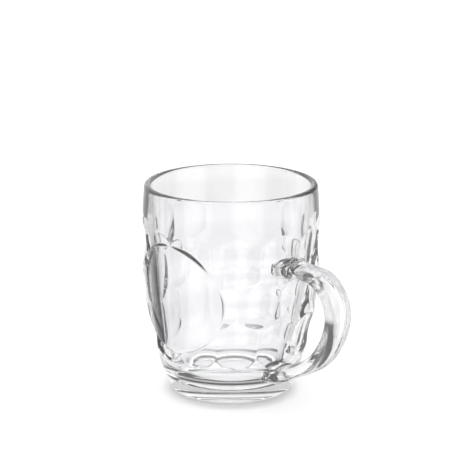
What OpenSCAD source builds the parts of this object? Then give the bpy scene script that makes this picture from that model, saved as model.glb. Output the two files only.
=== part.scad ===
// Dimpled glass beer mug of about half a pint, in millimetres.
// The bowl stands on its foot ring at z = 0 with its axis on Z, and the handle points along +X.

/* [Bowl] */
// height over the lip
height = 98; // [70:1:130]
// width over the lip
rim_d = 80; // [60:1:110]
// how far the belly swells out past the lip
swell = 1.3; // [0.5:0.1:5]
// level of the belly
belly_z = 66; // [45:1:90]
// width of the side curve carried down to the table
foot_d = 57.2; // [42:0.1:80]
// radius that turns the side into the foot ring
foot_round = 2.5; // [1:0.1:5]
// width of the flat ring the mug stands on
ring_w = 3.4; // [1.5:0.1:8]
// height of the hollow under the base
punt = 2; // [0.5:0.1:4]
// thickness of the fully rounded lip
lip_t = 3.2; // [2:0.1:5]

/* [Inside] */
// thickness of the base, from the table up to the inside floor
base_t = 6; // [4:0.5:14]
// thickness of the wall where it would meet the inside floor without its rounding
heel_t = 3.3; // [2:0.1:8]
// radius between the inside wall and the floor
floor_round = 12; // [4:0.5:20]

/* [Thumb dimples] */
// dimples in one turn
cells = 12; // [8:1:16]
// level of the top row's middle
row_z = 69.7; // [50:0.1:90]
// height from one row to the next
row_step = 19.9; // [14:0.1:28]
// number of rows, each one turned half a dimple against the one above
rows = 3; // [1:1:4]
// height of one dimple
cell_tall = 23.8; // [14:0.1:36]
// depth of a dimple at its middle
cell_deep = 2.2; // [0.8:0.1:3]
// radius of the slight hollow across a dimple
cell_hollow = 240; // [60:10:600]
// turn of the top row's first dimple from the handle
cell_turn = -6.2; // [-15:0.1:15]

/* [Round panel] */
// plain round panels, the second one opposite the first
panels = 1; // [0:1:2]
// width of a panel
panel_d = 51; // [20:0.5:64]
// level of its middle
panel_z = 50.2; // [30:0.1:70]
// turn of the first panel from the handle
panel_turn = -84; // [-110:1:-60]
// slope of the panel's edge
panel_draft = 10; // [2:1:30]

/* [Handle] */
// reach of the handle out from the belly
reach = 34.5; // [24:0.1:50]
// level of the handle's top face
grip_top = 69.4; // [50:0.1:90]
// thickness of the strap
strap_t = 7; // [4:0.1:10]
// width of the strap
strap_w = 13; // [8:0.1:20]
// rounding along the strap's edges
strap_round = 2.8; // [0.5:0.1:3.4]
// radius of the upper bend on its outer face
bend_r = 19.4; // [14:0.1:26]
// radius of the long lower curve on its outer face
sweep_r = 40.1; // [28:0.1:60]
// angle where the bend passes into the long curve
bend_end = -13.4; // [-40:0.1:0]
// angle where the long curve passes into the straight lower arm
sweep_end = -62; // [-75:0.5:-45]
// radius of the short bend at the end of the arm on its outer face, where it levels out
heel_r = 15.5; // [10:0.1:26]
// level of the lower pad's middle
low_z = 15; // [10:0.1:20]
// width of the pads that join the bowl
pad_w = 18.3; // [12:0.1:26]
// height of the upper pad
pad_top_t = 8.6; // [7:0.1:14]
// height of the lower pad
pad_low_t = 8.6; // [7:0.1:14]
// length over which the upper pad runs out into the strap
pad_run = 9; // [4:0.5:16]
// length over which the lower pad runs out into the strap
pad_low_run = 6; // [3:0.5:10]

/* [Hidden] */
$fa = 2;
$fs = 0.4;
// sides of the large circles
fine = 256;
// overrun of every cut
over = 1;
lip_r = lip_t / 2;
lip_z = height - lip_r;
rim_r = rim_d / 2;
belly_r = rim_r + swell;
foot_r = foot_d / 2;
// the side below the belly is one arc, upright at the belly
side_R = (belly_z * belly_z + pow(belly_r - foot_r, 2)) / (2 * (belly_r - foot_r));
side_x = belly_r - side_R;
// the side above it is another arc that runs into the round of the lip
top_in = belly_r - (rim_r - lip_r);
top_h = lip_z - belly_z;
top_R = (top_in * top_in + top_h * top_h - lip_r * lip_r) / (2 * (top_in - lip_r));
top_x = belly_r - top_R;
// the foot rounding touches the table and the side
foot_x = side_x + sqrt(pow(side_R - foot_round, 2) - pow(belly_z - foot_round, 2));
foot_share = side_R / (side_R - foot_round);
foot_touch = [side_x + (foot_x - side_x) * foot_share, belly_z - (belly_z - foot_round) * foot_share];
// the inside wall is one arc, upright at the lip
in_r = rim_r - lip_t;
in_h = lip_z - base_t;
floor_r = side_at(base_t) - heel_t;
in_R = (in_h * in_h + pow(in_r - floor_r, 2)) / (2 * (in_r - floor_r));
in_x = in_r - in_R;
corner_x = in_x + sqrt(pow(in_R - floor_round, 2) - pow(in_h - floor_round, 2));
corner_share = in_R / (in_R - floor_round);
corner_touch = [in_x + (corner_x - in_x) * corner_share, lip_z - (in_h - floor_round) * corner_share];
// the hollow under the base is part of a ball
ring_in = foot_x - ring_w;
punt_R = (ring_in * ring_in + punt * punt) / (2 * punt);
// a dimple is cut by a barrel that lies across the wall
barrel_r = (cell_tall * cell_tall / 4 + cell_deep * cell_deep) / (2 * cell_deep);
spread_share = 1.5;
// the plug that keeps a panel plain starts at this share of the belly's radius
plug_share = 0.6;
barrel_half = belly_r * sin(180 / cells) * spread_share;
// the handle's two arcs touch where the bend passes into the long curve
bend_x = belly_r + reach - bend_r;
bend_z = grip_top - bend_r;
sweep_x = bend_x - (sweep_r - bend_r) * cos(bend_end);
sweep_z = bend_z - (sweep_r - bend_r) * sin(bend_end);
arm_turn = sweep_end + 90;
mid_in = strap_t / 2;
// the strap's lengths are let into each other by a hair, and the flares by a little more
step = 0.02;
dive = 0.3;
// angle by which the long curve laps into the bend
lap = 0.5;
// where the upper arm starts inside the wall, and how far the pads reach into it, by the belly's radius
root_share = 0.9;
sink_share = 0.15;
// middle line of the lower arm where the long curve ends
arm_x = sweep_x + (sweep_r - mid_in) * cos(sweep_end);
arm_z = sweep_z + (sweep_r - mid_in) * sin(sweep_end);
// the arm runs straight down to the short bend, which ends level with the lower pad
heel_mid = heel_r - mid_in;
heel_from = low_z + heel_mid * (1 - cos(arm_turn));
arm_run = (arm_z - heel_from) / sin(arm_turn);
heel_x = arm_x - arm_run * cos(arm_turn) - heel_mid * sin(arm_turn);

// radius of the plain side at a level
function side_at(z) = z < belly_z
    ? side_x + sqrt(side_R * side_R - pow(z - belly_z, 2))
    : top_x + sqrt(top_R * top_R - pow(z - belly_z, 2));

// lean of the plain side at a level, nought where it is upright
function lean_at(z) = z < belly_z
    ? asin((z - belly_z) / side_R)
    : asin((z - belly_z) / top_R);

module side_shape() {
    difference() {
        intersection() {
            translate([side_x, belly_z]) circle(side_R, $fn = fine);
            square([belly_r + over, belly_z]);
        }
        polygon([[foot_x, -over], [belly_r + over, -over], [belly_r + over, foot_touch[1]],
                 foot_touch, [foot_x, foot_round]]);
    }
    intersection() {
        translate([foot_x, foot_round]) circle(foot_round);
        square([belly_r, belly_z]);
    }
    intersection() {
        translate([top_x, belly_z]) circle(top_R, $fn = fine);
        translate([0, belly_z]) square([belly_r + over, top_h]);
    }
    translate([rim_r - lip_r, lip_z]) circle(lip_r);
}

module inside_shape() {
    difference() {
        intersection() {
            translate([in_x, lip_z]) circle(in_R, $fn = fine);
            translate([0, base_t]) square([in_r + over, in_h]);
        }
        polygon([[corner_x, base_t - over], [in_r + over, base_t - over], [in_r + over, corner_touch[1]],
                 corner_touch, [corner_x, base_t + floor_round]]);
    }
    intersection() {
        translate([corner_x, base_t + floor_round]) circle(floor_round);
        translate([0, base_t]) square([in_r, in_h]);
    }
    translate([0, lip_z]) square([in_r, lip_r + over]);
}

module barrel() {
    rotate([90, 0, 0]) rotate_extrude()
        intersection() {
            translate([barrel_r - cell_hollow, 0]) circle(cell_hollow, $fn = fine);
            translate([0, -barrel_half]) square([barrel_r + over, 2 * barrel_half]);
        }
}

module dimple(z, turn) {
    out = barrel_r - cell_deep;
    rotate([0, 0, turn])
        translate([side_at(z) + out * cos(lean_at(z)), 0, z + out * sin(lean_at(z))])
            barrel();
}

// plug that keeps one round panel plain, wider towards the axis
module panel_plug(turn) {
    inner = belly_r * plug_share;
    outer = belly_r + over;
    level = belly_r - 2 * cell_deep;
    rotate([0, 0, turn]) translate([inner, 0, panel_z]) rotate([0, 90, 0])
        cylinder(h = outer - inner,
                 r1 = panel_d / 2 + (level - inner) * tan(panel_draft),
                 r2 = panel_d / 2 - (outer - level) * tan(panel_draft));
}

module dimples(from, to) {
    for (row = [0 : rows - 1])
        for (place = [from : to])
            dimple(row_z - row * row_step, cell_turn + (place + (row % 2) / 2) * 360 / cells);
}

// the solid bowl with its dimples between two places in the row
module bowl_solid(from, to) {
    difference() {
        rotate_extrude() side_shape();
        difference() {
            dimples(from, to);
            for (side = [0 : 1 : panels - 1])
                panel_plug(panel_turn + side * 180);
        }
    }
}

module mug_body() {
    color([0.86, 0.93, 0.92, 0.5])
    difference() {
        bowl_solid(0, cells - 1);
        rotate_extrude() inside_shape();
        translate([0, 0, punt - punt_R]) sphere(punt_R, $fn = fine);
    }
}

// strap section with its outer face towards +X, set in by less on every side
module strap_shape(less) {
    thick = strap_t - 2 * less;
    wide = strap_w - 2 * less;
    turn = strap_round - less;
    translate([-less, 0]) {
        translate([-thick, -wide / 2 + turn]) square([thick, wide - 2 * turn]);
        translate([-thick + turn, -wide / 2]) square([thick - 2 * turn, wide]);
        for (x = [-thick + turn, -turn])
            for (y = [-1, 1])
                translate([x, y * (wide / 2 - turn)]) circle(turn);
    }
}

// part of a ring of strap in the XZ plane, between two angles
module strap_arc(x, z, r, from, to, less) {
    translate([x, 0, z]) rotate([90, 0, 0])
        rotate([0, 0, from]) rotate_extrude(angle = to - from)
            translate([r, 0]) strap_shape(less);
}

// straight strap that runs along +X from zero, its outer face up
module strap_run(length, less) {
    rotate([0, 90, 0]) rotate([0, 0, 180]) linear_extrude(height = length) strap_shape(less);
}

// flare from inside the strap out to a pad, running along +X from the wall, its middle on the X axis
module flare(tall, run, inward) {
    grow = (pad_w - strap_w) / 2 + dive;
    turn_r = (run * run + grow * grow) / (2 * grow);
    lift = (tall - strap_t) / 2 + dive;
    lift_r = (run * run + lift * lift) / (2 * lift);
    intersection() {
        rotate([0, 90, 0]) rotate_extrude() difference() {
            translate([0, -inward]) square([pad_w / 2, inward + run]);
            translate([pad_w / 2 - grow + turn_r, run]) circle(turn_r, $fn = fine);
        }
        translate([0, pad_w / 2, 0]) rotate([90, 0, 0]) linear_extrude(height = pad_w) difference() {
            translate([-inward, -tall / 2]) square([inward + run, tall]);
            translate([run, tall / 2 - lift + lift_r]) circle(lift_r, $fn = fine);
            translate([run, -tall / 2 + lift - lift_r]) circle(lift_r, $fn = fine);
        }
    }
}

module handle() {
    top_wall = side_at(grip_top - mid_in);
    low_wall = side_at(low_z);
    inward = belly_r * sink_share;
    color([0.82, 0.9, 0.89, 0.6])
    difference() {
        union() {
            strap_arc(bend_x, bend_z, bend_r, bend_end, 90, 0);
            strap_arc(sweep_x, sweep_z, sweep_r, sweep_end, bend_end + lap, step);
            translate([belly_r * root_share, 0, grip_top]) strap_run(bend_x - belly_r * root_share + dive, step);
            translate([arm_x, 0, arm_z]) rotate([0, -arm_turn, 0])
                translate([-arm_run - dive, 0, -mid_in]) mirror([0, 0, 1])
                    strap_run(arm_run + 2 * dive, 2 * step);
            strap_arc(heel_x, low_z + heel_mid, heel_r, -90, sweep_end, 3 * step);
            translate([foot_r, 0, low_z - mid_in]) mirror([0, 0, 1])
                strap_run(heel_x - foot_r + dive, 4 * step);
            translate([top_wall, 0, grip_top - mid_in]) flare(pad_top_t, pad_run, inward);
            translate([low_wall, 0, low_z]) flare(pad_low_t, pad_low_run, inward);
        }
        bowl_solid(-1, 1);
    }
}

mug_body();
handle();
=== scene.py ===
import math

import bmesh
import bpy
import numpy as np
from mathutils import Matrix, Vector


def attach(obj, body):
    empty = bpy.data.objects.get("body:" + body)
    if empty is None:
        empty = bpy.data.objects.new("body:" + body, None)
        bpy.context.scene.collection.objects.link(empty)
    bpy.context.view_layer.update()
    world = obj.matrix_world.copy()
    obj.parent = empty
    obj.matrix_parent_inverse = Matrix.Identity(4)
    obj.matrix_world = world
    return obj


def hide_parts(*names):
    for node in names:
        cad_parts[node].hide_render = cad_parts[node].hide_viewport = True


mm = 0.001
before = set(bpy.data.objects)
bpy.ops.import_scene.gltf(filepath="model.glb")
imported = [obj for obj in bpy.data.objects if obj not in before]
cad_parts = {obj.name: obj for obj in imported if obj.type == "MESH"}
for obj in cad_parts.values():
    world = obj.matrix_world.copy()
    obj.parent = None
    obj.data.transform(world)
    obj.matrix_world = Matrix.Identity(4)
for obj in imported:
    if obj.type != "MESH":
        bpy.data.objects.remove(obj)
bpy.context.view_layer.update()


def srgb(hexText):
    # "#rrggbb" to the linear values that shaders use
    parts = [int(hexText[i:i + 2], 16) / 255 for i in (1, 3, 5)]
    return [c / 12.92 if c <= 0.04045 else ((c + 0.055) / 1.055) ** 2.4 for c in parts] + [1.0]


def addNode(tree, kind, settings=None, links=None, **attributes):
    # one node with its attributes, its socket settings and the links into it
    node = tree.nodes.new(kind)
    for name, value in attributes.items():
        setattr(node, name, value)
    for name, value in (settings or {}).items():
        node.inputs[name].default_value = value
    for name, source in (links or {}).items():
        tree.links.new(source, node.inputs[name])
    return node


# the bowl, in millimetres; its main sizes are those of the CAD source
bowl = {
    "height": 98.0,
    "rim": 40.0,            # outer radius of the lip
    "lip": 1.6,             # radius of the lip's round
    "belly": 41.3,          # widest radius
    "bellyLevel": 66.0,
    "foot": 28.6,           # radius at which the side's arc would meet the table
    "footRound": 2.5,
    "ring": 3.4,            # width of the flat foot ring
    "punt": 2.0,            # depth of the hollow under the base
    "base": 6.0,            # level of the inside floor
    "floor": 27.573,        # radius at which the inside wall's arc would meet the floor
    "floorRound": 15.0,     # 12 in the CAD source, wider here to thin the dimples' loops on the floor
    "waviness": 0.02,       # slow ripple that pressing and fire polishing leave
    "inset": 1.0,           # share of it by which the outside lies lower, to stay inside the CAD box
    "insideShare": 1.2,     # how much stronger it is inside
    "easeRun": 8.0,         # run over which it fades out before an edge
    "around": 720,          # mesh points in one turn
    "rise": 0.32,           # mesh step up the side
    "shortOf": 0.01,        # how far below the lip's round the side has to stop
    "insideRise": 0.6,      # mesh step down the inside wall
    "poleShare": 0.06,      # smallest ring round a pole
    "ringShares": (0.33, 0.66),
    "floorShare": 0.93,     # widest ring of the flat floor
    "hollowRings": 22,
    "footRings": 12,
    "lipRings": 22,
    "cornerRings": 26,
    "floorRings": 16,
}
# slow waves of the skin, which the hot glass keeps from the mould
waves = {
    "count": 9,
    "perTurn": (2, 9),      # fewest whole waves in one turn, and the number they stay below
    "tall": (26, 60),       # mm from crest to crest up the side
    "outsideSeed": 3,
    "insideSeed": 8,
}
# staggered rows of dimples, each cut by a barrel that lies along the wall
dimples = {
    "perTurn": 12,
    "level": 69.7,          # middle of the top row
    "step": 19.9,           # from row to row
    "rows": 3,
    "tall": 23.8,
    "deep": 2.2,
    "hollow": 240.0,        # radius of the bulge along the barrel that cuts a dimple
    "turn": -6.2,           # degrees
    "soft": 0.1,            # rounding of the ridges between dimples
    "span": 0.9,            # radians to either side in which a barrel may cut
}
# plain round panel to the left of the handle, which interrupts the dimples
panel = {
    "turn": -84.0,          # degrees
    "level": 50.2,
    "radius": 25.5,
    "edge": 1.1,            # width over which the dimples give way to the plain panel
    "span": 1.4,            # radians to either side in which the panel may lie
}


def arcNumbers():
    # the same tangent arcs that the CAD source works out
    found = {}
    swell = bowl["belly"] - bowl["foot"]
    found["sideR"] = (bowl["bellyLevel"] ** 2 + swell ** 2) / (2 * swell)
    found["sideX"] = bowl["belly"] - found["sideR"]
    found["lipLevel"] = bowl["height"] - bowl["lip"]
    inset = bowl["belly"] - (bowl["rim"] - bowl["lip"])
    rise = found["lipLevel"] - bowl["bellyLevel"]
    found["topR"] = (inset ** 2 + rise ** 2 - bowl["lip"] ** 2) / (2 * (inset - bowl["lip"]))
    found["topX"] = bowl["belly"] - found["topR"]
    footReach = (found["sideR"] - bowl["footRound"]) ** 2 - (bowl["bellyLevel"] - bowl["footRound"]) ** 2
    found["footX"] = found["sideX"] + math.sqrt(footReach)
    mouth = bowl["rim"] - 2 * bowl["lip"]
    deep = found["lipLevel"] - bowl["base"]
    found["inR"] = (deep ** 2 + (mouth - bowl["floor"]) ** 2) / (2 * (mouth - bowl["floor"]))
    found["inX"] = mouth - found["inR"]
    cornerReach = (found["inR"] - bowl["floorRound"]) ** 2 - (deep - bowl["floorRound"]) ** 2
    found["cornerX"] = found["inX"] + math.sqrt(cornerReach)
    found["ringIn"] = found["footX"] - bowl["ring"]
    found["puntR"] = (found["ringIn"] ** 2 + bowl["punt"] ** 2) / (2 * bowl["punt"])
    return found


arcs = arcNumbers()


def sideAt(z):
    # radius of the plain side at a level
    if z < bowl["bellyLevel"]:
        return arcs["sideX"] + math.sqrt(arcs["sideR"] ** 2 - (z - bowl["bellyLevel"]) ** 2)
    return arcs["topX"] + math.sqrt(arcs["topR"] ** 2 - (z - bowl["bellyLevel"]) ** 2)


def leanAt(z):
    # lean of the plain side at a level, in radians
    big = arcs["sideR"] if z < bowl["bellyLevel"] else arcs["topR"]
    return math.asin((z - bowl["bellyLevel"]) / big)


def insideAt(z):
    # radius of the inside wall at a level
    return arcs["inX"] + math.sqrt(arcs["inR"] ** 2 - (z - arcs["lipLevel"]) ** 2)


def dimpleList():
    # each barrel that cuts a dimple: its turn, its centre's radius and level, and its girth
    barrel = (dimples["tall"] ** 2 / 4 + dimples["deep"] ** 2) / (2 * dimples["deep"])
    out = barrel - dimples["deep"]
    found = []
    for row in range(dimples["rows"]):
        z = dimples["level"] - row * dimples["step"]
        for place in range(dimples["perTurn"]):
            turn = math.radians(dimples["turn"] + (place + (row % 2) / 2) * 360 / dimples["perTurn"])
            found.append((turn, sideAt(z) + out * math.cos(leanAt(z)), z + out * math.sin(leanAt(z)), barrel))
    return found


def wrap(angle):
    # angle brought to within half a turn of zero
    return (angle + math.pi) % (2 * math.pi) - math.pi


def dimpledRing(z, turns, cutters):
    # radius all round at one level, with the dimples and the plain panel
    plain = sideAt(z)
    radii = [np.full(len(turns), plain)]
    for turn, centreOut, centreLevel, barrel in cutters:
        if abs(z - centreLevel) >= barrel:
            continue
        away = wrap(turns - turn)
        across = plain * np.sin(away)
        girth = barrel - across ** 2 / (2 * dimples["hollow"])
        reach = girth ** 2 - (z - centreLevel) ** 2
        cuts = (np.abs(away) < dimples["span"]) & (reach > 0)
        cut = np.full(len(turns), np.inf)
        cut[cuts] = (centreOut - np.sqrt(reach[cuts])) / np.cos(away[cuts])
        radii.append(cut)
    radii = np.array(radii)
    away = wrap(turns - math.radians(panel["turn"]))
    across = np.where(np.abs(away) < panel["span"], plain * np.sin(away), np.inf)
    share = np.clip((np.hypot(across, z - panel["level"]) - panel["radius"]) / panel["edge"] + 0.5, 0, 1)
    share = share * share * (3 - 2 * share)
    low = radii.min(axis=0)
    soft = dimples["soft"]
    blended = low - soft * np.log(np.exp(-(radii - low) / soft).sum(axis=0))
    return plain + (blended - plain) * share


def ripple(turns, z, seed):
    # slow uneven waves, a few centimetres from crest to crest
    rng = np.random.default_rng(seed)
    total = np.zeros(len(turns))
    for wave in range(waves["count"]):
        perTurn = rng.integers(*waves["perTurn"])
        tall = rng.uniform(*waves["tall"])
        phase = rng.uniform(0, 2 * math.pi, 2)
        total += np.sin(perTurn * turns + phase[0]) * math.sin(2 * math.pi * z / tall + phase[1])
    return total / math.sqrt(waves["count"])


def gridMesh(name, rings, firstPole, lastPole):
    # closed skin over rings of points, with a pole at each end
    around = len(rings[0])
    points = np.concatenate([np.concatenate(rings), [firstPole, lastPole]]) * mm
    here = np.arange(around)
    after = (here + 1) % around
    quads = np.concatenate([np.stack([row * around + here, row * around + after,
                                      (row + 1) * around + after, (row + 1) * around + here], axis=1)
                            for row in range(len(rings) - 1)])
    top = (len(rings) - 1) * around
    first = np.stack([np.full(around, len(points) - 2), after, here], axis=1)
    last = np.stack([np.full(around, len(points) - 1), top + here, top + after], axis=1)
    mesh = bpy.data.meshes.new(name)
    mesh.vertices.add(len(points))
    mesh.vertices.foreach_set("co", points.astype(np.float32).ravel())
    corners = np.concatenate([quads.ravel(), first.ravel(), last.ravel()]).astype(np.int32)
    mesh.loops.add(len(corners))
    mesh.loops.foreach_set("vertex_index", corners)
    starts = np.concatenate([np.arange(len(quads)) * 4,
                             len(quads) * 4 + np.arange(2 * around) * 3]).astype(np.int32)
    mesh.polygons.add(len(starts))
    mesh.polygons.foreach_set("loop_start", starts)
    mesh.polygons.foreach_set("use_smooth", np.ones(len(starts), dtype=bool))
    mesh.update(calc_edges=True)
    mesh.validate()
    return mesh


def buildBowl():
    around = bowl["around"]
    turns = np.arange(around) * 2 * math.pi / around
    lipLevel = arcs["lipLevel"]
    rings = []

    def ring(r, z):
        r = np.full(around, r) if np.isscalar(r) else r
        z = np.full(around, z)
        rings.append(np.stack([r * np.cos(turns), r * np.sin(turns), z], axis=1))

    for share in np.linspace(bowl["poleShare"], 1, bowl["hollowRings"]):             # hollow under the base
        r = arcs["ringIn"] * share
        ring(r, bowl["punt"] - arcs["puntR"] + math.sqrt(arcs["puntR"] ** 2 - r ** 2))
    for share in bowl["ringShares"]:                                                 # flat foot ring
        ring(arcs["ringIn"] + bowl["ring"] * share, 0.0)
    footRound = bowl["footRound"]
    footEnd = -math.asin((bowl["bellyLevel"] - footRound) / (arcs["sideR"] - footRound))
    for angle in np.linspace(-math.pi / 2, footEnd, bowl["footRings"]):              # round of the foot
        ring(arcs["footX"] + footRound * math.cos(angle), footRound + footRound * math.sin(angle))
    start = footRound + footRound * math.sin(footEnd)
    cutters = dimpleList()
    for z in np.arange(start + bowl["rise"], lipLevel - bowl["shortOf"], bowl["rise"]):   # dimpled side
        ease = min(1.0, (z - start) / bowl["easeRun"], (lipLevel - z) / bowl["easeRun"])
        wave = bowl["waviness"] * ease * (ripple(turns, z, waves["outsideSeed"]) - bowl["inset"])
        ring(dimpledRing(z, turns, cutters) + wave, z)
    lip = bowl["lip"]
    for angle in np.linspace(0, math.pi, bowl["lipRings"]):                          # rounded lip
        ring(bowl["rim"] - lip + lip * math.cos(angle), lipLevel + lip * math.sin(angle))
    floorRound = bowl["floorRound"]
    low = bowl["base"] + floorRound
    cornerEnd = -math.asin((lipLevel - low) / (arcs["inR"] - floorRound))
    bottom = low + floorRound * math.sin(cornerEnd)
    for z in np.arange(lipLevel - bowl["insideRise"], bottom, -bowl["insideRise"]):  # inside wall
        ease = min(1.0, (lipLevel - z) / bowl["easeRun"])
        wave = bowl["waviness"] * ease * bowl["insideShare"] * ripple(turns, z, waves["insideSeed"])
        ring(insideAt(z) - wave, z)
    for angle in np.linspace(cornerEnd, -math.pi / 2, bowl["cornerRings"]):          # round inside the base
        ring(arcs["cornerX"] + floorRound * math.cos(angle), low + floorRound * math.sin(angle))
    for share in np.linspace(bowl["floorShare"], bowl["poleShare"], bowl["floorRings"]):  # inside floor
        ring(arcs["cornerX"] * share, bowl["base"])
    return gridMesh("bowlSkin", rings, (0, 0, bowl["punt"]), (0, 0, bowl["base"]))


# the handle, in millimetres and degrees as the CAD source has them
strap = {
    "reach": 75.8,          # from the bowl's axis to the outer face
    "top": 69.4,            # level of its upper face
    "thick": 7.0,
    "wide": 13.0,
    "bend": 19.4,           # outer radius of the upper bend
    "sweep": 40.1,          # outer radius of the wide sweep
    "bendEnd": -13.4,
    "sweepEnd": -62.0,
    "heel": 15.5,           # outer radius of the lower bend
    "low": 15.0,            # level of the lower run's middle line
    "rootTop": 36.5,        # where the middle line starts, inside the upper wall
    "rootLow": 29.0,        # and where it ends, inside the lower one
    "padWide": 18.3,
    "padTopTall": 8.6,
    "padLowTall": 8.6,
    "padRun": 9.0,
    "padLowRun": 6.0,
    "squareness": 3.2,      # power of the rounded section
    "dome": 0.5,            # fall of the inner face towards its edges
    "drawLines": 0.035,     # height of the fine lines along the strap
    "lineCount": 7,
    "linesAround": (9, 34),  # fewest lines round the section, and the number they stay below
    "linePhase": 6.3,       # radians
    "lineSum": 3.0,         # what the sum of the lines is divided by
    "lineInset": 2.0,       # share of their height by which the skin lies lower, to stay in the CAD box
    "lineMean": 0.7,        # their mean strength along the strap
    "lineSwing": 0.3,       # how far it swings
    "lineRun": 17.0,        # and over what run
    "lineEase": 14.0,       # run over which they fade in beside each pad
    "lineSeed": 5,
    "around": 120,          # mesh points round the section
    "along": 0.5,           # mesh step along the strap
}


def arcPoints(centreX, centreZ, radius, start, end):
    # points of the middle line on an arc from one turn down to another, in degrees
    found = []
    for angle in np.arange(start, end, -math.degrees(strap["along"] / radius)):
        a = math.radians(angle)
        found.append((centreX + radius * math.cos(a), centreZ + radius * math.sin(a)))
    return found


def strapPath():
    # middle line from inside the upper wall to inside the lower wall, in x and z
    half = strap["thick"] / 2
    along = strap["along"]
    bend = strap["bend"] - half
    sweep = strap["sweep"] - half
    heel = strap["heel"] - half
    bendX = strap["reach"] - strap["bend"]
    bendZ = strap["top"] - strap["bend"]
    turn = math.radians(strap["bendEnd"])
    sweepX = bendX - (strap["sweep"] - strap["bend"]) * math.cos(turn)
    sweepZ = bendZ - (strap["sweep"] - strap["bend"]) * math.sin(turn)
    end = math.radians(strap["sweepEnd"])
    armX = sweepX + sweep * math.cos(end)
    armZ = sweepZ + sweep * math.sin(end)
    lean = end + math.pi / 2
    armRun = (armZ - (strap["low"] + heel * (1 - math.cos(lean)))) / math.sin(lean)
    heelX = armX - armRun * math.cos(lean) - heel * math.sin(lean)
    points = [(x, strap["top"] - half) for x in np.arange(strap["rootTop"], bendX, along)]
    points += arcPoints(bendX, bendZ, bend, 90, strap["bendEnd"])
    points += arcPoints(sweepX, sweepZ, sweep, strap["bendEnd"], strap["sweepEnd"])
    points += [(armX - way * math.cos(lean), armZ - way * math.sin(lean))
               for way in np.arange(0, armRun, along)]
    points += arcPoints(heelX, strap["low"] + heel, heel, strap["sweepEnd"], -90)
    points += [(x, strap["low"]) for x in np.arange(heelX, strap["rootLow"], -along)]
    return np.array(points)


def flareShare(distance, run):
    # 1 at the wall, 0 where the pad has run out into the strap, on a hollow curve
    share = np.clip(1 - distance / run, 0, 1)
    return share * share


def roundedSection(wave):
    # a cosine or sine pushed out towards a rounded rectangle
    return np.sign(wave) * np.abs(wave) ** (2 / strap["squareness"])


def buildHandle():
    path = strapPath()
    step = np.gradient(path, axis=0)
    step /= np.linalg.norm(step, axis=1)[:, None]
    outward = np.stack([-step[:, 1], step[:, 0]], axis=1)
    length = np.concatenate([[0], np.cumsum(np.linalg.norm(np.diff(path, axis=0), axis=1))])
    topWall = length[np.argmax(path[:, 0] > sideAt(strap["top"] - strap["thick"] / 2))]
    outside = path[:, 0] > np.array([sideAt(z) for z in path[:, 1]])
    lowWall = length[len(path) - 1 - np.argmax(outside[::-1])]
    angles = np.arange(strap["around"]) * 2 * math.pi / strap["around"]
    sideways = roundedSection(np.cos(angles))
    inwards = roundedSection(np.sin(angles))
    rng = np.random.default_rng(strap["lineSeed"])
    lines = sum(np.sin(rng.integers(*strap["linesAround"]) * angles + rng.uniform(0, strap["linePhase"]))
                for line in range(strap["lineCount"])) / strap["lineSum"]
    rings = []
    for place, way in enumerate(length):
        top = flareShare(way - topWall, strap["padRun"])
        low = flareShare(lowWall - way, strap["padLowRun"])
        wide = strap["wide"] + (strap["padWide"] - strap["wide"]) * max(top, low)
        thick = (strap["thick"] + (strap["padTopTall"] - strap["thick"]) * top
                 + (strap["padLowTall"] - strap["thick"]) * low)
        away = inwards * thick / 2 - np.where(inwards > 0, strap["dome"] * sideways ** 2 * inwards, 0)
        ease = min(1.0, max(0.0, min(way - topWall, lowWall - way) / strap["lineEase"]))
        strength = strap["lineMean"] + strap["lineSwing"] * math.sin(way / strap["lineRun"])
        drift = strap["drawLines"] * (lines * ease * strength - strap["lineInset"])
        x = path[place, 0] - outward[place, 0] * (away + drift * inwards)
        z = path[place, 1] - outward[place, 1] * (away + drift * inwards)
        y = sideways * wide / 2
        rings.append(np.stack([x, y, z], axis=1))
    ends = [(path[end, 0], 0, path[end, 1]) for end in (0, -1)]
    return gridMesh("handleSkin", rings, ends[0], ends[1])


def placed(name, mesh):
    # new object in the scene
    piece = bpy.data.objects.new(name, mesh)
    bpy.context.scene.collection.objects.link(piece)
    return piece


def facesOut(mesh):
    # every face turned outwards
    work = bmesh.new()
    work.from_mesh(mesh)
    bmesh.ops.recalc_face_normals(work, faces=work.faces)
    work.to_mesh(mesh)
    work.free()


def keepFaces(mesh, name, slot):
    # copy of the fused skin with only the faces of one piece
    work = bmesh.new()
    work.from_mesh(mesh)
    gone = [face for face in work.faces if face.material_index != slot]
    bmesh.ops.delete(work, geom=gone, context="FACES")
    for face in work.faces:
        face.material_index = 0
    part = bpy.data.meshes.new(name)
    work.to_mesh(part)
    work.free()
    return part


def fuseSkins(bowlWork, handleWork):
    # one skin of both, because glass that overlaps or touches shows a false surface inside
    fuse = bowlWork.modifiers.new("fuse", "BOOLEAN")
    fuse.operation = "UNION"
    fuse.object = handleWork
    fuse.solver = "EXACT"
    for slot, piece in enumerate((bowlWork, handleWork)):
        for name in ("bowlFaces", "handleFaces"):
            piece.data.materials.append(bpy.data.materials.get(name) or bpy.data.materials.new(name))
        piece.data.polygons.foreach_set("material_index", np.full(len(piece.data.polygons), slot, np.int32))
    fused = bpy.data.meshes.new_from_object(bowlWork.evaluated_get(bpy.context.evaluated_depsgraph_get()))
    for piece in (bowlWork, handleWork):
        bpy.data.objects.remove(piece)
    return fused


bowlWork = placed("bowlWork", buildBowl())
handleWork = placed("handleWork", buildHandle())
facesOut(bowlWork.data)
facesOut(handleWork.data)
print("skins built", len(bowlWork.data.polygons), len(handleWork.data.polygons))

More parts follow.
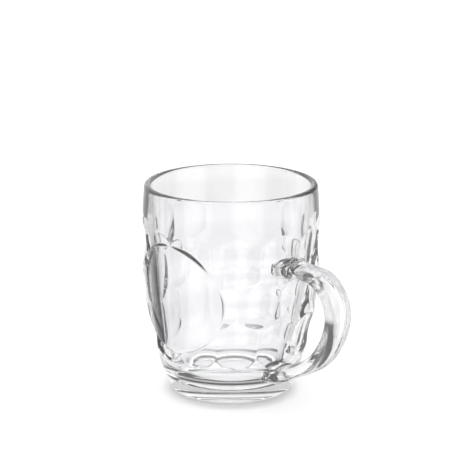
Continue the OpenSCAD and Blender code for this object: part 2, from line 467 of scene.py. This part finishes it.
fused = fuseSkins(bowlWork, handleWork)
mugBody = placed("mug_body_glass", keepFaces(fused, "mugBodySkin", 0))
handle = placed("handle_glass", keepFaces(fused, "handleSkinFused", 1))
for piece, node, slot in ((mugBody, "mug_body", "bowl_glass"), (handle, "handle", "handle_glass")):
    for face in piece.data.polygons:
        face.use_smooth = True
    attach(piece, "root")
    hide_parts(node)
print("bowl and handle fused", len(mugBody.data.polygons), len(handle.data.polygons))


# pressed soda-lime glass: clear and almost without colour, smooth from the fire but not quite flat
glassLook = {
    "tint": "#fcfcfd",
    "ior": 1.49,            # matched to the photograph, typical is 1.52
    "roughness": 0.0,
    "haze": 0.045,          # share of light scattered by the fine wear that washing leaves
    "strapHaze": 0.055,
    "rippleScale": 9.0,     # mm from crest to crest of the skin left by the mould
    "rippleHeight": 0.012,  # mm
    "rippleDetail": 2.0,
    "rippleRough": 0.45,
    "lineScale": 0.9,       # mm between the lines along the strap, as finer ones would not show
    "lineHeight": 0.012,    # mm
    "lineDetail": 3.0,
}


def pressedGlass(name, lined):
    material = bpy.data.materials.new(name)
    material.use_nodes = True
    tree = material.node_tree
    tree.nodes.clear()
    place = addNode(tree, "ShaderNodeTexCoord")
    scaled = addNode(tree, "ShaderNodeVectorMath", {1: (1000 / glassLook["rippleScale"],) * 3},
                     {0: place.outputs["Object"]}, operation="MULTIPLY")
    skin = addNode(tree, "ShaderNodeTexNoise",
                   {"Scale": 1.0, "Detail": glassLook["rippleDetail"], "Roughness": glassLook["rippleRough"]},
                   {"Vector": scaled.outputs[0]})
    bump = addNode(tree, "ShaderNodeBump", {"Strength": 1.0, "Distance": glassLook["rippleHeight"] * mm},
                   {"Height": skin.outputs[0]})
    if lined:
        # draw lines run along the strap, so they change only across it
        across = addNode(tree, "ShaderNodeSeparateXYZ", links={0: place.outputs["Object"]})
        even = addNode(tree, "ShaderNodeMath", {1: 1000 / glassLook["lineScale"]}, {0: across.outputs["Y"]},
                       operation="MULTIPLY")
        fine = addNode(tree, "ShaderNodeTexNoise", {"Scale": 1.0, "Detail": glassLook["lineDetail"]},
                       {"W": even.outputs[0]}, noise_dimensions="1D")
        bump = addNode(tree, "ShaderNodeBump", {"Strength": 1.0, "Distance": glassLook["lineHeight"] * mm},
                       {"Height": fine.outputs[0], "Normal": bump.outputs[0]})
    shader = addNode(tree, "ShaderNodeBsdfPrincipled",
                     {"Base Color": srgb(glassLook["tint"]), "Roughness": glassLook["roughness"],
                      "IOR": glassLook["ior"],
                      "Transmission Weight": 1 - glassLook["strapHaze" if lined else "haze"]},
                     {"Normal": bump.outputs[0]})
    addNode(tree, "ShaderNodeOutputMaterial", links={"Surface": shader.outputs[0]})
    return material


for piece, name, lined in ((mugBody, "pressedSodaLimeGlass", False), (handle, "drawnSodaLimeGlass", True)):
    piece.data.materials.clear()
    piece.data.materials.append(pressedGlass(name, lined))
print("glass set")

# table of matt white acrylic that glows of itself and shows as plain white; its soft shadow is partly real,
# partly painted into the glow
table = {
    "half": 6.0,            # m
    "white": "#ffffff",
    "shade": "#cccccc",
    "roughness": 0.9,
    "specular": 0.1,
    "glow": 0.56,
    "under": 1.25,          # painted light: a brighter glow straight under the base, to make up for the studio's light that the mug keeps off
    "underRadius": 25.5,    # mm
    "underSpan": 4.0,       # mm over which it falls to the table's own glow
    "heel": 25.0,           # mm, radius of a painted shadow: a dark arc before the foot, where the thick heel keeps the light off
    "heelSpan": 5.5,        # mm to either side over which the light comes back
    "front": -40.0,         # degrees, turn of the side that the photograph shows
    "frontSpan": 8.0,       # mm over which the arc sets in on that side
    "contact": 0.42,        # painted contact shadow: share of the glow that the foot keeps off the table beside it
    "contactFrom": 27.0,    # mm over which the glow comes back
    "contactTo": 34.0,
    "contactAhead": 4.5,    # mm by which this shade leans to the front
}


def buildTable():
    half = table["half"]
    corners = [(-half, -half, 0), (half, -half, 0), (half, half, 0), (-half, half, 0)]
    mesh = bpy.data.meshes.new("tableTop")
    mesh.from_pydata(corners, [], [(0, 1, 2, 3)])
    top = placed("tableTop", mesh)
    material = bpy.data.materials.new("matWhiteAcrylic")
    material.use_nodes = True
    tree = material.node_tree
    tree.nodes.clear()
    place = addNode(tree, "ShaderNodeTexCoord")
    away = addNode(tree, "ShaderNodeVectorMath", links={0: place.outputs["Object"]}, operation="LENGTH")
    # the table's glow, with painted light: a brighter pool straight under the base
    glowWithPaintedPool = addNode(tree, "ShaderNodeMapRange",
                    {"From Min": table["underRadius"] * mm,
                     "From Max": (table["underRadius"] + table["underSpan"]) * mm,
                     "To Min": table["under"], "To Max": table["glow"]},
                    {"Value": away.outputs["Value"]}, interpolation_type="SMOOTHSTEP")
    # painted shadow: a dark arc before the foot, only on the front side
    off = addNode(tree, "ShaderNodeMath", {1: table["heel"] * mm}, {0: away.outputs["Value"]},
                  operation="SUBTRACT")
    gap = addNode(tree, "ShaderNodeMath", links={0: off.outputs[0]}, operation="ABSOLUTE")
    ring = addNode(tree, "ShaderNodeMapRange",
                   {"From Min": 0.0, "From Max": table["heelSpan"] * mm, "To Min": 1.0, "To Max": 0.0},
                   {"Value": gap.outputs[0]}, interpolation_type="SMOOTHSTEP")
    front = math.radians(table["front"])
    ahead = addNode(tree, "ShaderNodeVectorMath", {1: (math.cos(front), math.sin(front), 0)},
                    {0: place.outputs["Object"]}, operation="DOT_PRODUCT")
    before = addNode(tree, "ShaderNodeMapRange",
                     {"From Min": 0.0, "From Max": table["frontSpan"] * mm, "To Min": 0.0, "To Max": 1.0},
                     {"Value": ahead.outputs["Value"]}, interpolation_type="SMOOTHSTEP")
    paintedHeelArc = addNode(tree, "ShaderNodeMath", links={0: ring.outputs[0], 1: before.outputs[0]},
                   operation="MULTIPLY")
    rest = addNode(tree, "ShaderNodeMath", {0: 1.0}, {1: paintedHeelArc.outputs[0]}, operation="SUBTRACT")
    # painted contact shadow beside the foot, leaning to the front
    lean = [math.cos(front) * table["contactAhead"] * mm, math.sin(front) * table["contactAhead"] * mm, 0]
    moved = addNode(tree, "ShaderNodeVectorMath", {1: lean}, {0: place.outputs["Object"]},
                    operation="DISTANCE")
    paintedContactShadow = addNode(tree, "ShaderNodeMapRange",
                     {"From Min": table["contactFrom"] * mm, "From Max": table["contactTo"] * mm,
                      "To Min": 1 - table["contact"], "To Max": 1.0},
                     {"Value": moved.outputs["Value"]}, interpolation_type="SMOOTHSTEP")
    paintedPoolAndShadow = addNode(tree, "ShaderNodeMath", links={0: paintedContactShadow.outputs[0], 1: glowWithPaintedPool.outputs[0]},
                  operation="MULTIPLY")
    glow = addNode(tree, "ShaderNodeMath", links={0: rest.outputs[0], 1: paintedPoolAndShadow.outputs[0]},
                   operation="MULTIPLY")
    shader = addNode(tree, "ShaderNodeBsdfPrincipled",
                     {"Base Color": srgb(table["shade"]), "Roughness": table["roughness"],
                      "Specular IOR Level": table["specular"], "Emission Color": srgb(table["white"])},
                     {"Emission Strength": glow.outputs[0]})
    addNode(tree, "ShaderNodeOutputMaterial", links={"Surface": shader.outputs[0]})
    mesh.materials.append(material)


buildTable()

# soft studio light: an even pale room under a large overhead softbox
studio = {
    "room": 0.62,
    "overhead": 1.25,
    "overheadFrom": 0.55,   # height of the direction above which the softbox starts
    "overheadTo": 0.8,
}


def buildStudio():
    world = bpy.data.worlds.new("studio")
    bpy.context.scene.world = world
    world.use_nodes = True
    tree = world.node_tree
    tree.nodes.clear()
    way = addNode(tree, "ShaderNodeTexCoord")
    parts = addNode(tree, "ShaderNodeSeparateXYZ", links={0: way.outputs["Generated"]})
    level = addNode(tree, "ShaderNodeMapRange",
                    {"From Min": studio["overheadFrom"], "From Max": studio["overheadTo"],
                     "To Min": studio["room"], "To Max": studio["overhead"]}, {"Value": parts.outputs["Z"]})
    back = addNode(tree, "ShaderNodeBackground", {"Color": (1, 1, 1, 1)}, {"Strength": level.outputs[0]})
    addNode(tree, "ShaderNodeOutputWorld", links={"Surface": back.outputs[0]})


buildStudio()

# ring of card round the mug, unseen by the camera, glowing with painted light and shade, which gives the
# glass its dark edges
cards = {
    "radius": 68.0,         # mm
    "shift": 11.0,          # mm towards the handle, so that the ring clears it
    "tall": 240.0,
    "behind": 140.0,        # degrees, turn of the direction straight behind the mug
    "around": 181,          # mesh points in one turn
    "low": 0.5,             # mm, level of its lower edge
    "rise": 2.0,            # mm from row to row of its mesh
    "plainFrom": 152.0,     # mm, level above which it has no more rows up to its upper edge
    "bandTall": 28.0,       # mm from one pale band of the painted light to the next
    "bandFrom": 30.0,       # mm, level at which a pale band starts
    "bandTone": 0.045,      # share by which the bands differ from the middle tone
    "bandCrisp": 3,         # how sharp the bands' edges are, 1 is soft
    "stripeWide": 27.0,     # degrees from one pale stripe to the next
    "stripeFrom": -4.0,     # degrees, where a pale stripe starts
    "stripeTone": 0.05,
    "stripeCrisp": 4,
    "light": 1.05,          # how strongly the whole ring glows
    "turns": (              # degrees from straight behind, to the right as the camera sees it
        -180.0, -135.0, -110.0, -80.0, -70.0, -60.0, -30.0, 0.0, 30.0, 50.0, 64.0, 80.0, 100.0, 112.0, 138.0,
        150.0, 180.0),
    "rows": (               # level, then how bright the card's painted glow is at each turn
        (0.0, (0.9, 0.6, 0.5, 0.5, 0.6, 0.98, 1.02, 1.06, 1.0, 0.9, 0.8, 0.7, 0.6, 0.06, 0.06, 0.8, 0.9)),
        (9.0, (0.9, 0.7, 0.09, 0.05, 0.3, 1.0, 1.05, 1.08, 1.03, 0.92, 0.8, 0.7, 0.6, 0.06, 0.06, 0.8, 0.9)),
        (36.0, (0.9, 0.7, 0.09, 0.05, 0.3, 1.0, 1.06, 1.09, 1.03, 0.94, 0.8, 0.7, 0.6, 0.06, 0.06, 0.8, 0.9)),
        (46.0, (0.9, 0.7, 0.09, 0.05, 0.3, 1.0, 1.06, 1.09, 1.03, 0.94, 0.8, 0.7, 0.7, 0.9, 0.9, 0.9, 0.9)),
        (70.0, (0.9, 0.8, 0.6, 0.5, 0.7, 0.92, 0.98, 1.02, 0.97, 0.9, 0.8, 0.75, 0.75, 0.9, 0.9, 0.9, 0.9)),
        (92.0, (0.9, 0.8, 0.7, 0.6, 0.75, 0.9, 0.95, 1.0, 0.94, 0.8, 0.7, 0.65, 0.75, 0.9, 0.9, 0.9, 0.9)),
        (102.0, (0.9, 0.8, 0.7, 0.65, 0.8, 0.9, 0.98, 1.0, 0.6, 0.1, 0.04, 0.08, 0.5, 0.7, 0.9, 0.9, 0.9)),
        (134.0, (0.9, 0.8, 0.7, 0.65, 0.8, 0.9, 1.0, 1.0, 0.6, 0.1, 0.04, 0.08, 0.5, 0.7, 0.9, 0.9, 0.9)),
        (148.0, (0.9, 0.8, 0.8, 0.8, 0.8, 0.9, 1.0, 1.0, 0.95, 0.9, 0.9, 0.9, 0.9, 0.9, 0.9, 0.9, 0.9)),
    ),
}


def paintedLightCard():
    # card glowing with painted light and shade, alike from all sides: the glass shows it as darks and soft
    # lines
    material = bpy.data.materials.new("paintedLightCard")
    material.use_nodes = True
    tree = material.node_tree
    tree.nodes.clear()
    shade = addNode(tree, "ShaderNodeAttribute", attribute_name="cardLight")
    shader = addNode(tree, "ShaderNodeEmission", {"Color": (1, 1, 1, 1)}, {"Strength": shade.outputs["Fac"]})
    addNode(tree, "ShaderNodeOutputMaterial", links={"Surface": shader.outputs[0]})
    return material


cardPaintedLight = paintedLightCard()


def standCard(name, points, faces, light):
    # a glowing card that shows only in reflections and through the glass, with its painted light at each
    # point
    mesh = bpy.data.meshes.new(name)
    mesh.from_pydata([(x * mm, y * mm, z * mm) for x, y, z in points], [], faces)
    shades = mesh.attributes.new("cardLight", "FLOAT", "POINT")
    shades.data.foreach_set("value", light)
    mesh.materials.append(cardPaintedLight)
    card = placed(name, mesh)
    card.visible_camera = False
    card.visible_shadow = False
    card.visible_diffuse = False


def sheetFaces(rows, columns):
    # faces of a sheet whose points are given row by row
    return [(row * columns + k, row * columns + k + 1, (row + 1) * columns + k + 1, (row + 1) * columns + k)
            for row in range(rows - 1) for k in range(columns - 1)]


def buildRing():
    turns = np.linspace(-180.0, 180.0, cards["around"])
    levels = np.concatenate([np.arange(cards["low"], cards["plainFrom"], cards["rise"]), [cards["tall"]]])
    tones = np.array([np.interp(turns, cards["turns"], row) for level, row in cards["rows"]])
    marks = [level for level, row in cards["rows"]]
    points = []
    light = []
    for z in levels:
        # painted light: pale and dark bands up the ring and stripes round it, which the glass shows as soft
        # lines
        bandWave = math.sin(2 * math.pi * (z - cards["bandFrom"]) / cards["bandTall"])
        band = 1 + cards["bandTone"] * math.tanh(cards["bandCrisp"] * bandWave)
        for k, turn in enumerate(turns):
            a = math.radians(cards["behind"] - turn)
            points.append((cards["shift"] + cards["radius"] * math.cos(a), cards["radius"] * math.sin(a), z))
            stripeWave = math.sin(2 * math.pi * (turn - cards["stripeFrom"]) / cards["stripeWide"])
            stripe = 1 + cards["stripeTone"] * math.tanh(cards["stripeCrisp"] * stripeWave)
            light.append(cards["light"] * band * stripe * np.interp(z, marks, tones[:, k]))
    standCard("cardRing", points, sheetFaces(len(levels), len(turns)), light)


buildRing()

# low strip of painted shade on the table close behind the foot, glowing grey, which gives the foot its grey
strip = {
    "radius": 33.5,         # mm
    "levels": (0.3, 5.5),   # mm
    "around": 64,           # mesh points
    "turns": (-65.0, -40.0, -15.0, 15.0, 40.0, 62.0),   # degrees, as in the ring
    "tones": (0.1, 0.3, 0.6, 0.6, 0.3, 0.1),            # how light the strip is there
}


def buildStrip():
    turns = np.linspace(strip["turns"][0], strip["turns"][-1], strip["around"])
    points = []
    for z in strip["levels"]:
        for turn in turns:
            a = math.radians(cards["behind"] - turn)
            points.append((strip["radius"] * math.cos(a), strip["radius"] * math.sin(a), z))
    light = list(np.interp(turns, strip["turns"], strip["tones"])) * len(strip["levels"])
    standCard("lowStrip", points, sheetFaces(len(strip["levels"]), len(turns)), light)


buildStrip()

# dark card on the table behind the handle, a sheet of painted shade, which darkens the edge of its lower
# curve
lowCard = {
    "corners": ((40.0, 12.0), (79.0, 12.0), (74.0, 30.0), (62.0, 48.0), (40.0, 48.0)),
    "level": 1.0,           # mm
    "light": 0.065,
}


def buildLowCard():
    corners = [(x, y, lowCard["level"]) for x, y in lowCard["corners"]]
    standCard("lowCard", corners, [tuple(range(len(corners)))], [lowCard["light"]] * len(corners))


buildLowCard()
print("table, studio light and cards set")

# the photograph's view, in millimetres and degrees
shot = {
    "azimuth": 50.0,
    "elevation": 14.91,
    "distance": 800.0,
    "aside": 0.92,          # from the bowl's axis to the point aimed at, to the right in the picture
    "level": 73.72,         # level of that point
    "lens": 133.5,
    "sensor": 36,
    "clip": (0.01, 50),     # m
}


def buildCamera():
    a = math.radians(shot["azimuth"])
    e = math.radians(shot["elevation"])
    aim = Vector((shot["aside"] * math.cos(a), shot["aside"] * math.sin(a), shot["level"])) * mm
    back = Vector((math.sin(a) * math.cos(e), -math.cos(a) * math.cos(e), math.sin(e)))
    lens = bpy.data.cameras.new("camera")
    lens.sensor_width = shot["sensor"]
    lens.lens = shot["lens"]
    lens.clip_start, lens.clip_end = shot["clip"]
    camera = placed("camera", lens)
    camera.location = aim + back * shot["distance"] * mm
    camera.rotation_euler = (-back).to_track_quat("-Z", "Y").to_euler()
    bpy.context.scene.camera = camera


buildCamera()
bpy.context.scene.view_settings.view_transform = "Standard"
